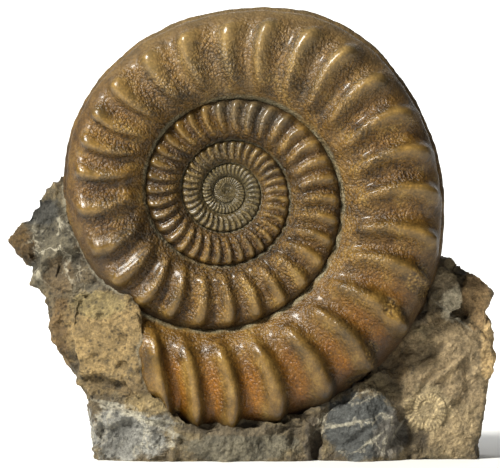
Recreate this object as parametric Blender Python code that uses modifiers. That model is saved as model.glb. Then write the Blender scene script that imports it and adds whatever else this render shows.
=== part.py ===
"""A ribbed ammonite standing in the block of limestone that it was found in.

Run with: blender --background --python part.py

Metres, +Z up.  The disc of the shell stands in the XZ plane and its better face looks along -Y.
The origin is on the block's flat foot, straight below the centre of the coil.

The shell is one coiled tube.  Places along it are in degrees, counted inwards from the mouth, so the
outermost whorl runs from 0 to 360 and the next one from 360 to 720.
"""
from bisect import bisect_right
from math import copysign, cos, exp, floor, radians, sin

import bmesh
import bpy
from mathutils import Vector, noise

MM = 0.001

# --- the coil -------------------------------------------------------------------------------------
COIL_HEIGHT = 186.6 * MM       # centre of the coil above the foot
MOUTH_BEARING = 240.0          # where the mouth is round the disc: 0 is +X and 90 is up
COIL_LENGTH = 1620.0           # four and a half whorls, to the first chamber
WHORL = 360.0
KEEL_GOES_UNDER = 355.0        # the last row that shows its keel, just inside the mouth

# Radius to the keel of the last whorl, from the mouth inwards.  Its growth slowed at the end.
KEEL_AT = (0, 30, 60, 80, 100, 120, 150, 165, 180, 195, 210, 225, 240, 270, 290, 330, 360, 390, 420)
KEEL_MM = (170, 168, 166, 163, 157.5, 152, 146, 144.5, 140.5, 133.5, 127, 123.5, 121, 117.6, 115,
           110.5, 106.4, 100.5, 94)

# Further in, the coil is a logarithmic spiral, a little wider towards one side than the others.
SPIRAL_START = 182.1 * MM      # radius that the spiral would have had at the mouth
SPIRAL_FALL = 0.00166          # share of the radius lost in a degree
OVAL_SHARE = 0.040
OVAL_BEARING = -63.0

SEAM_SHARE = 0.953             # a whorl is overlapped by the next one out from this share of its radius
SEAM_DEPTH = 0.70              # and there its half thickness is this share of its greatest
THICKNESS_SHARE = 0.190        # half thickness of the tube over its keel radius
MOST_THICKNESS = 31.5 * MM

# --- the section of the tube ------------------------------------------------------------------------
# Stations from the keel (0) to the seam with the whorl inside (1), each with the share of the way in,
# half thickness as a share of the greatest, share of a rib's height, and how much of that is outwards.
KEEL = (0.0, 0.0, 0.0, 0.0)
GROOVE = (0.062, 0.17, 0.0, 0.0)
RIM = (0.042, 0.40, 0.12, 1.0)
SHOULDER = (0.135, 0.84, 1.0, 0.55)
FLANK = ((0.29, 0.98, 0.95, 0.0), (0.48, 1.0, 0.95, 0.0), (0.67, 0.97, 0.90, 0.0), (0.83, 0.84, 0.45, 0.0))
INNER_FLANK = ((0.40, 1.0, 1.0, 0.0), (0.65, 0.97, 0.9, 0.0), (0.84, 0.80, 0.35, 0.0))
CORE_FLANK = ((0.50, 1.0, 1.0, 0.0), (0.80, 0.85, 0.4, 0.0))
WALL = (0.95, 0.60, 0.0, 0.0)
MOUTH_MIDDLE = (0.12, 0.29, 0.48, 0.67, 0.84)      # places across the broken mouth, on its middle plane

# --- ribs -----------------------------------------------------------------------------------------
# Where the ribs of these numbers stand along the tube.  Between them the ribs are evenly spaced.
RIB_NUMBER = (-1, 16, 24, 33, 45, 60, 160)
RIB_AT = (-6.3, 210.0, 325.5, 444.0, 575.5, 733.5, 1733.5)
RIB_HEIGHT_SHARE = 0.032       # of the keel radius, crest above the hollow beside it
RIB_WIDTH = 0.25               # half width of the crest, in ribs
LEAN = 5.5                     # degrees by which a rib trails at the inner seam
LEAN_TURNS_AT = 0.38           # share of the way in where a rib is furthest forward
MOUTH_SLANT = 18.0             # degrees by which the broken mouth runs ahead at the keel
SLANT_FADES_OVER = 38.0        # degrees from the mouth

# The place where each run of the tube ends, its rows of vertices for each rib, and its flank.
RUNS = ((KEEL_GOES_UNDER, 3, FLANK), (733.5, 2, INNER_FLANK), (1083.5, 2, CORE_FLANK),
        (COIL_LENGTH, 1, CORE_FLANK))

# --- the stone ------------------------------------------------------------------------------------
# Each lump is the hull of its corners, in mm: right, towards the viewer, up.
LUMPS = {
    "wing": (
        (-113, -2, 200), (-120, -4, 190), (-131, -6, 179), (-136, -7, 174), (-141, -9, 163),
        (-146, -10, 159), (-153, -13, 151), (-149, -11, 144), (-145, -9, 137), (-138, -7, 131),
        (-127, -4, 117), (-108, 1, 172), (-104, 2, 152), (-97, 5, 134), (-88, 8, 121), (-112, 3, 110),
        (-104, -34, 188), (-138, -30, 158), (-122, -38, 118), (-80, -44, 122), (-80, -10, 130)),
    "strip": (
        (-126, 0, 111), (-127, 0, 103), (-121, 2, 90), (-118, 3, 79), (-116, 4, 70), (-108, 7, 60),
        (-102, 9, 50), (-100, 11, 112), (-100, 13, 60), (-90, 14, 54), (-116, -38, 104),
        (-98, -44, 56), (-80, -44, 110), (-80, -20, 56)),
    "patch": (
        (-107, 13, 114), (-109, 14, 98), (-108, 15, 82), (-102, 17, 63), (-92, 19, 58), (-78, 23, 59),
        (-66, 27, 55), (-58, 29, 56), (-60, 30, 88), (-61, 25, 104), (-67, 21, 111), (-84, 15, 121),
        (-104, -10, 110), (-64, -10, 104), (-100, -10, 66), (-60, -10, 60), (-60, -10, 90)),
    "mouth_side": (
        (-97, 13, 41), (-103, 10, 49), (-100, 12, 57), (-74, 18, 61), (-57, 28, 60), (-52, 30, 47),
        (-41, 31, 32), (-30, 33, 19), (-60, 30, 30), (-88, 23, 37), (-96, -44, 44), (-60, -50, 54),
        (-30, -40, 20), (-60, -20, 66)),
    "corner": (
        (-95, 24, 40), (-81, 29, 38), (-56, 32, 27), (-29, 35, 17), (-30, 36, -6), (-64, 33, -6),
        (-91, 25, 10), (-90, 25, -6), (-92, -40, 38), (-88, -44, -6), (-30, -50, -6), (-30, -40, 20)),
    "front_foot": (
        (-34, 35, 16), (-6, 35, 14), (28, 37, 15), (46, 35, 21), (54, 33, 19), (55, 32, -6),
        (10, 37, -6), (-34, 35, -6), (-34, -40, 14), (55, -40, 14), (55, -40, -6), (-34, -40, -6)),
    "foot": (
        (-86, 14, -6), (40, 22, -6), (120, 18, -6), (173, 10, -6), (173, -42, -6), (118, -58, -6),
        (0, -60, -6), (-74, -52, -6), (-88, -14, -6), (-84, 14, 12), (60, 20, 12), (120, 14, 30),
        (172, -40, 30), (-86, -42, 40)),
    "toe": (
        (65, 28, -6), (65, 29, 8), (66, 29, 20), (72, 30, 33), (89, 27, 44), (104, 17, 53),
        (121, 22, 29), (102, 36, 5), (100, 37, -6), (84, 34, 25), (97, 33, 29), (113, 24, -6),
        (130, 16, 5), (131, 14, -6), (66, -20, -6), (66, -20, 20), (105, -20, 50), (130, -20, 10)),
    "slab": (
        (134, 6, 91), (156, 4, 99), (166, 3, 100), (175, 3, 91), (184, 4, 82), (187, 5, 71),
        (184, 7, 58), (178, 11, 34), (177, 13, 22), (174, 15, 6), (173, 15, -6), (132, 18, -6),
        (124, 19, 12), (114, 15, 44), (104, 10, 58), (160, 13, 70), (152, 16, 40), (184, -36, 76),
        (176, -42, 20), (172, -42, -6), (124, -44, 10), (150, -40, 96)),
    "slab_edge": (
        (167, -5, 133), (176, -6, 130), (182, -8, 124), (183, -4, 103), (184, -3, 90), (188, -2, 79),
        (189, -2, 72), (180, 0, 60), (169, -1, 100), (167, -3, 114), (168, -40, 126), (180, -42, 110),
        (186, -40, 74), (160, -44, 70)),
    "slab_top": (
        (148, -12, 137), (161, -9, 138), (168, -9, 133), (168, -8, 100), (140, -15, 88), (124, -12, 96),
        (142, -42, 132), (168, -44, 124), (160, -44, 84), (118, -44, 90)),
    "back_left": (
        (-116, -18, 112), (-64, -24, 86), (-84, -52, 108), (-110, -40, 106), (-86, -48, 16),
        (-34, -65, 24), (-30, -61, 64), (-10, -20, 10), (-80, -10, 10), (-60, -56, 88)),
    "back_middle": (
        (-66, -24, 80), (20, -28, 70), (100, -22, 84), (-58, -56, 80), (-20, -62, 66), (50, -57, 62),
        (96, -50, 78), (-40, -67, 26), (24, -69, 34), (84, -64, 28), (-60, 10, 4), (110, 6, 8)),
    "back_right": (
        (92, -20, 80), (150, -16, 124), (168, -30, 112), (144, -48, 106), (60, -55, 62), (60, -24, 56),
        (170, -46, 20), (80, -66, 26), (110, 6, 20), (112, -56, 70)),
}
LUMP_VOXEL = 3.5 * MM
ROUGHNESS = 1.3 * MM           # how far the broken faces stand in and out
ROUGHNESS_LENGTH = 24.0 * MM
STONE_FACES_KEPT = 0.072       # share of the remeshed faces that the stone keeps
SOCKET_GAP = 0.5 * MM          # between the shell and the stone round it
SOCKET_INNER_RADIUS = 100.0 * MM

STONE_COLOUR = (0.150, 0.125, 0.095, 1.0)
SHELL_COLOUR = (0.205, 0.115, 0.045, 1.0)


def between(x, places, values):
    """The value at x on straight lines between (place, value) pairs, carried on past both ends."""
    i = min(max(bisect_right(places, x), 1), len(places) - 1)
    share = (x - places[i - 1]) / (places[i] - places[i - 1])
    return values[i - 1] + share * (values[i] - values[i - 1])


def keel_radius(along):
    if along < KEEL_AT[-1]:
        return between(along, KEEL_AT, KEEL_MM) * MM
    oval = OVAL_SHARE * cos(radians(MOUTH_BEARING + along - OVAL_BEARING))
    return SPIRAL_START * exp(oval - SPIRAL_FALL * along)


def half_thickness(along):
    return min(THICKNESS_SHARE * keel_radius(along), MOST_THICKNESS)


def rib_lean(across, along):
    """Degrees that a rib runs ahead of its middle, at this share of the way in."""
    bend = (across - LEAN_TURNS_AT) / (1.0 - LEAN_TURNS_AT)
    slant = MOUTH_SLANT * max(0.0, 1.0 - along / SLANT_FADES_OVER) ** 1.3
    return slant * (1.0 - across) ** 2 - LEAN * bend * bend


def rib_rise(phase):
    """1 on the crest of a rib and nearly 0 halfway between two."""
    off = (phase + 0.5) % 1.0 - 0.5
    return exp(-(off / RIB_WIDTH) ** 2)


def on_the_disc(along, radius, depth):
    turn = radians(MOUTH_BEARING + along)
    return Vector((radius * cos(turn), -depth, COIL_HEIGHT + radius * sin(turn)))


def flank_point(along, phase, station):
    across, thickness, rib, outwards = station
    here = along + rib_lean(across, along)
    outer = keel_radius(here)
    inner = SEAM_SHARE * keel_radius(here + WHORL)
    rise = RIB_HEIGHT_SHARE * outer * rib * rib_rise(phase)
    radius = outer + (inner - outer) * across + rise * outwards
    return on_the_disc(here, radius, thickness * half_thickness(here) + rise * (1.0 - outwards))


def seam_place(along):
    """Where the seam under this row of the tube stands on the whorl inside it."""
    return along + rib_lean(1.0, along) + WHORL


def seam_point(along):
    inside = seam_place(along)
    return on_the_disc(inside, SEAM_SHARE * keel_radius(inside), SEAM_DEPTH * half_thickness(inside))


def rows_of_the_tube():
    """(place along the tube, phase of the ribs, flank) for each row of vertices, mouth first."""
    rows = [(0.0, between(0.0, RIB_AT, RIB_NUMBER), FLANK)]
    start = 0.0
    for end, per_rib, flank in RUNS:
        first = floor(between(start, RIB_AT, RIB_NUMBER) * per_rib) + 1
        last = floor(between(end, RIB_AT, RIB_NUMBER) * per_rib)
        for step in range(first, last + 1):
            rib = step / per_rib
            # Where a rib has a single row, crests and hollows take turns.
            phase = rib if per_rib > 1 else step / 2
            rows.append((between(rib, RIB_NUMBER, RIB_AT), phase, flank))
        if end == KEEL_GOES_UNDER:
            rows.append((end, between(end, RIB_AT, RIB_NUMBER), flank))
        start = end
    return rows


def zip_together(bm, outer, inner):
    """Triangles between two chains of (place, vertex) that run the same way."""
    i = j = 0
    while i < len(outer) - 1 or j < len(inner) - 1:
        inner_done = j == len(inner) - 1
        outer_left = i < len(outer) - 1
        if inner_done or (outer_left and outer[i + 1][0] <= inner[j + 1][0]):
            bm.faces.new((outer[i][1], outer[i + 1][1], inner[j][1]))
            i += 1
        else:
            bm.faces.new((outer[i][1], inner[j + 1][1], inner[j][1]))
            j += 1


def evenly_placed(vertices):
    return [(i / (len(vertices) - 1), v) for i, v in enumerate(vertices)]


def near_half_of_the_shell():
    """The half of the shell that faces the viewer, open round its middle plane."""
    bm = bmesh.new()
    rows = rows_of_the_tube()
    turn = [row[0] for row in rows].index(KEEL_GOES_UNDER)
    lines = []
    for i, (along, phase, flank) in enumerate(rows):
        venter = (KEEL, GROOVE, RIM) if i <= turn else ()
        stations = (*venter, SHOULDER, *flank, WALL)
        line = [bm.verts.new(flank_point(along, phase, station)) for station in stations]
        line.append(bm.verts.new(seam_point(along)))
        lines.append(line)
    for i, (outer, inner) in enumerate(zip(lines, lines[1:])):
        if i == turn:
            outer = outer[3:]
        zip_together(bm, evenly_placed(outer), evenly_placed(inner))

    # Each whorl's inner edge lies on the shoulder of the whorl inside it.
    shoulders = [lines[turn][3]] + [line[0] for line in lines[turn + 1:]]
    shoulder_places = [row[0] + rib_lean(SHOULDER[0], row[0]) for row in rows[turn:]]
    seams = [(seam_place(row[0]), line[-1]) for row, line in zip(rows, lines)]
    covered = sum(place <= shoulder_places[-1] for place, _ in seams) + 1
    zip_together(bm, seams[:covered], list(zip(shoulder_places, shoulders)))

    # The first chamber fills the middle.
    chamber = bm.verts.new(on_the_disc(0.0, 0.0, half_thickness(COIL_LENGTH)))
    rim = [vertex for _, vertex in seams[covered - 1:]] + lines[-1][-2::-1]
    for one, other in zip(rim, rim[1:] + rim[:1]):
        bm.faces.new((one, other, chamber))

    # The broken mouth is closed from its edge to its middle, down to the keel of the whorl inside it.
    keel, groove, rim, shoulder = lines[turn][:4]
    bm.faces.new((lines[0][-1], shoulder, rim))
    across = [0.0, 0.01, 0.02] + [station[0] for station in (SHOULDER, *FLANK, WALL)] + [1.0, 1.1, 1.2, 1.3]
    edge = list(zip(across, (*lines[0], rim, groove, keel)))
    middle = [(share, bm.verts.new(flank_point(0.0, 0.5, (share, 0.0, 0.0, 0.0)))) for share in MOUTH_MIDDLE]
    zip_together(bm, edge, middle)
    return bm


def build_shell(name):
    bm = near_half_of_the_shell()
    bmesh.ops.mirror(bm, geom=bm.verts[:] + bm.edges[:] + bm.faces[:], axis="Y", merge_dist=0.01 * MM)
    bmesh.ops.recalc_face_normals(bm, faces=bm.faces[:])
    return object_from(bm, name)


def push_clear(vertex):
    """A short push that takes a vertex the gap away from the planes of all its faces."""
    push = vertex.normal * SOCKET_GAP
    for _ in range(40):
        for face in vertex.link_faces:
            push += face.normal * max(0.0, SOCKET_GAP - face.normal.dot(push))
    return push


def build_socket_cutter(name, shell):
    """The shell again, larger by the gap: all round its outer whorl, and in depth further in."""
    bm = bmesh.new()
    bm.from_mesh(shell.data)
    bm.normal_update()
    centre = Vector((0.0, 0.0, COIL_HEIGHT))
    for vertex in bm.verts:
        from_axis = vertex.co - centre
        if Vector((from_axis.x, from_axis.z)).length > SOCKET_INNER_RADIUS:
            vertex.co += push_clear(vertex)
        else:
            vertex.co.y += copysign(SOCKET_GAP, vertex.co.y)
    return object_from(bm, name)


def build_ground_cutter(name):
    bm = bmesh.new()
    bmesh.ops.create_cube(bm, size=1.0)
    bmesh.ops.translate(bm, verts=bm.verts[:], vec=(0.0, 0.0, -0.5))
    return object_from(bm, name)


def build_lumps(name):
    """All the lumps in one mesh, each a closed hull running into its neighbours."""
    bm = bmesh.new()
    for corners in LUMPS.values():
        vertices = [bm.verts.new((right * MM, -near * MM, up * MM)) for right, near, up in corners]
        hull = bmesh.ops.convex_hull(bm, input=vertices)
        inside = [v for v in hull["geom_interior"] if isinstance(v, bmesh.types.BMVert)]
        bmesh.ops.delete(bm, geom=inside, context="VERTS")
    bmesh.ops.recalc_face_normals(bm, faces=bm.faces[:])
    return object_from(bm, name)


def object_from(bm, name):
    mesh = bpy.data.meshes.new(name)
    bm.to_mesh(mesh)
    bm.free()
    made = bpy.data.objects.new(name, mesh)
    bpy.context.scene.collection.objects.link(made)
    return made


def settle(made):
    """Makes what the modifiers do to an object permanent."""
    finished = bpy.data.meshes.new_from_object(made.evaluated_get(bpy.context.evaluated_depsgraph_get()))
    made.modifiers.clear()
    made.data = finished
    finished.name = made.name


def roughen(made):
    """Moves the stone's faces in and out as if they had been broken."""
    mesh = made.data
    for vertex in mesh.vertices:
        place = vertex.co / ROUGHNESS_LENGTH
        broad = noise.noise(place)
        fine = noise.noise(place * 2.7 + Vector((5.0, 1.0, 3.0)))
        vertex.co += vertex.normal * ROUGHNESS * (1.2 * broad + 0.8 * fine)


def keep_the_largest_piece(made):
    """Drops the crumbs that a cut has left beside the stone."""
    bm = bmesh.new()
    bm.from_mesh(made.data)
    waiting = set(bm.faces)
    pieces = []
    while waiting:
        front = [waiting.pop()]
        piece = list(front)
        while front:
            for edge in front.pop().edges:
                fresh = [face for face in edge.link_faces if face in waiting]
                waiting.difference_update(fresh)
                front.extend(fresh)
                piece.extend(fresh)
        pieces.append(piece)
    largest = max(pieces, key=lambda piece: sum(face.calc_area() for face in piece))
    crumbs = [face for piece in pieces if piece is not largest for face in piece]
    bmesh.ops.delete(bm, geom=crumbs, context="FACES")
    bm.to_mesh(made.data)
    bm.free()


def build_stone(name, cutters):
    stone = build_lumps(name)
    remesh = stone.modifiers.new("one stone", "REMESH")
    remesh.mode = "VOXEL"
    remesh.voxel_size = LUMP_VOXEL
    settle(stone)
    roughen(stone)
    facet = stone.modifiers.new("broken faces", "DECIMATE")
    facet.ratio = STONE_FACES_KEPT
    settle(stone)
    for cutter in cutters:
        cut = stone.modifiers.new(cutter.name, "BOOLEAN")
        cut.operation = "DIFFERENCE"
        cut.solver = "EXACT"
        cut.object = cutter
    settle(stone)
    keep_the_largest_piece(stone)
    return stone


def material(name, colour, roughness):
    made = bpy.data.materials.new(name)
    made.use_nodes = True
    surface = made.node_tree.nodes["Principled BSDF"]
    surface.inputs["Base Color"].default_value = colour
    surface.inputs["Roughness"].default_value = roughness
    return made


def gather(name, objects):
    collection = bpy.data.collections.new(name)
    bpy.context.scene.collection.children.link(collection)
    for made in objects:
        bpy.context.scene.collection.objects.unlink(made)
        collection.objects.link(made)


def main():
    for old in list(bpy.data.objects):
        bpy.data.objects.remove(old, do_unlink=True)

    shell = build_shell("ammonite")
    socket = build_socket_cutter("socket_cutter", shell)
    ground = build_ground_cutter("ground_cutter")
    stone = build_stone("matrix_block", (socket, ground))

    shell.data.materials.append(material("brown calcite", SHELL_COLOUR, 0.40))
    stone.data.materials.append(material("limestone", STONE_COLOUR, 0.80))
    gather("ammonite_fossil", (shell, stone))
    gather("cutters", (socket, ground))
    for cutter in (socket, ground):
        cutter.hide_render = True
        cutter.display_type = "WIRE"


main()
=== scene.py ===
"""A ribbed ammonite of varnished brown calcite, still standing in the limestone that it was found in."""
from functools import partial
from math import cos, pi, radians, sin

import bmesh
import bpy
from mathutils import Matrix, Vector


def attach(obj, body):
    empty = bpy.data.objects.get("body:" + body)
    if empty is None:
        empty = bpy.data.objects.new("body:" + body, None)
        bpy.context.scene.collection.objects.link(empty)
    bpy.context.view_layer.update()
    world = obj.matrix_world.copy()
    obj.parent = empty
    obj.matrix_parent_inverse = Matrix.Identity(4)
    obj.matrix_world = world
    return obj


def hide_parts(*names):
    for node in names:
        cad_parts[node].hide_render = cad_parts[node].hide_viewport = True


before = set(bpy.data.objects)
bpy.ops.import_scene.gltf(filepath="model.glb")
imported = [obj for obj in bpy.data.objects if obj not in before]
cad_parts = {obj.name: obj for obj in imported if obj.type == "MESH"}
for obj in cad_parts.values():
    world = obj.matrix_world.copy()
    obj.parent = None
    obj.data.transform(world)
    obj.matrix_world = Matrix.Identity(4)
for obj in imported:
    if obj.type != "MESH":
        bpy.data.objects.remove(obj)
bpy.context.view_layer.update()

MM = 0.001

# --- the coil, as it was measured ---
# The disc stands in the XZ plane and its better face looks along -Y.  Places along the tube are in
# degrees, counted inwards from the broken mouth.
COIL_CENTRE = Vector((0.0, 0.0, 186.6 * MM))
MOUTH_BEARING = 240.0
COIL_LENGTH = 2160.0
WHORL = 360.0
BURIED = -6.0                  # the broken end runs on this far into the stone,
END_TAPER = (-4.0, 3.5, 0.45)  # and it thins between these two places, to this share
LAST_WHORL_CLOSES = (1500.0, 1760.0)
ROW_CROWDING = 0.45            # spacing of the rows at the mouth, as a share of the mean
# Radius to the keel at places along the tube, then a spiral for the rest.
KEEL_AT = (0, 30, 60, 80, 100, 120, 150, 165, 180, 195, 210, 225, 240, 270, 290, 330, 360, 390, 420)
KEEL_MM = (
    170, 168, 166, 163, 157.5, 152, 146, 144.5, 140.5, 133.5, 127, 123.5, 121, 117.6, 115, 110.5, 106.4,
    100.5, 94)
KEEL_CURVE_MM = 200            # the curve of the radius holds this much
SPIRAL_START = 182.1 * MM
SPIRAL_FALL = 0.00166          # part of its radius lost in a degree
OVAL_SHARE = 0.040             # it is this much larger towards the next bearing
OVAL_BEARING = -63.0
SEAM_SHARE = 0.953             # a whorl reaches in to this share of the next one's keel
THICKNESS_SHARE = 0.190        # half thickness as a share of the radius
MOST_THICKNESS = 31.5 * MM

# The section of the tube from its keel (0) round to its hidden inner side (1): place, share of the way
# in from keel to seam, half thickness as a share of the greatest, and share of a rib's height.
SECTION = (
    (0.000, 0.000, 0.00, 0.00), (0.040, 0.024, 0.085, 0.00), (0.080, 0.050, 0.15, 0.00),
    (0.125, 0.050, 0.25, 0.00), (0.165, 0.038, 0.37, 0.05), (0.200, 0.050, 0.48, 0.12),
    (0.240, 0.085, 0.64, 0.35), (0.285, 0.140, 0.79, 0.88), (0.335, 0.205, 0.895, 1.10),
    (0.400, 0.300, 0.965, 0.95), (0.520, 0.480, 1.00, 0.90), (0.640, 0.670, 0.965, 0.80),
    (0.740, 0.820, 0.86, 0.42), (0.800, 0.890, 0.76, 0.13), (0.850, 0.945, 0.65, 0.02),
    (0.900, 0.985, 0.53, 0.00), (0.950, 1.020, 0.35, 0.00), (1.000, 1.060, 0.00, 0.00))
MOST_ACROSS = 1.25             # the curves of two columns hold this much
MOST_RIB = 1.1

# --- ribs ---
# The crests of the outer whorl, one by one, then the number and place of a few ribs further in.
OUTER_CRESTS = (
    7.0, 18.8, 31.5, 44.5, 58, 71, 84, 97.5, 108.5, 121.5, 133.5, 145.5, 158, 170.5, 183, 197, 210, 226, 241,
    257, 270, 281, 293, 307.5, 325.5, 340.5, 353.5, 366)
INNER_RIBS = ((27, 366), (33, 444), (45, 575.5), (60, 733.5), (202.65, 2160))
RIB_HEIGHT_SHARE = 0.057
GENTLE_SIDE = 0.32             # half width of a rib's outer side, in ribs
STEEP_SIDE = 0.205             # and of its side towards the first chamber
LEAN = 8.5                     # degrees between a rib's foremost place and its inner end
LEAN_TURNS_AT = 0.40
MOUTH_SLANT = 18.0             # degrees more at the keel of the mouth
SLANT_FADES_OVER = 38.0
SLANT_POWER = 1.3
COUNT_AT_MOUTH = 0.56          # the broken end cuts off the first rib, whose crest counts 1
COUNT_SPAN = 30.0              # the curve of the count holds this many ribs
# Swellings of its surface: waves a metre, detail, roughness and height.
SHELL_SWELLINGS = ((45.0, 3.0, 0.55, 0.9 * MM), (210.0, 2.0, 0.6, 0.35 * MM))

# Broken places on the better face, which ends 9 mm behind the middle: right and up from the origin, width,
# height, turn in degrees, depth, and how rough they are.  All lengths are in mm.
FACE_END = 9 * MM
FRESH_DEPTH = 3.0              # breaks this deep, in mm, show their fresh crystals most
BROKEN_PLACES = (
    (132, 127, 24, 15, 60, 4.0, 1.0), (137, 117, 15, 11, 20, 3.2, 1.0), (112, 108, 14, 11, 60, 4.2, 1.0),
    (120, 103, 11, 8, 0, 2.6, 1.0), (100, 76, 12, 17, -25, 3.4, 0.3), (94, 59, 28, 10, 30, 3.2, 0.4),
    (-46, 36, 14, 24, 15, 7.5, 0.4), (-36, 33, 9, 9, 0, 2.4, 1.0), (34, 63, 5, 13, 25, 1.6, 0.6),
    (-84, 146, 16, 5, 45, 1.2, 0.5), (-78, 139, 14, 4, 40, 1.2, 0.5), (-64, 128, 30, 14, 40, 0.9, 1.0),
    (-92, 196, 20, 10, 0, 0.9, 1.0), (70, 246, 24, 12, 40, 0.8, 1.0), (108, 205, 20, 8, 10, 0.8, 0.8),
    (66, 338, 26, 12, -30, 1.6, 0.6), (118, 292, 28, 8, -48, 1.5, 0.7), (140, 258, 14, 8, -60, 1.2, 1.0),
    (150, 214, 7, 12, 0, 1.4, 1.0))

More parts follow.
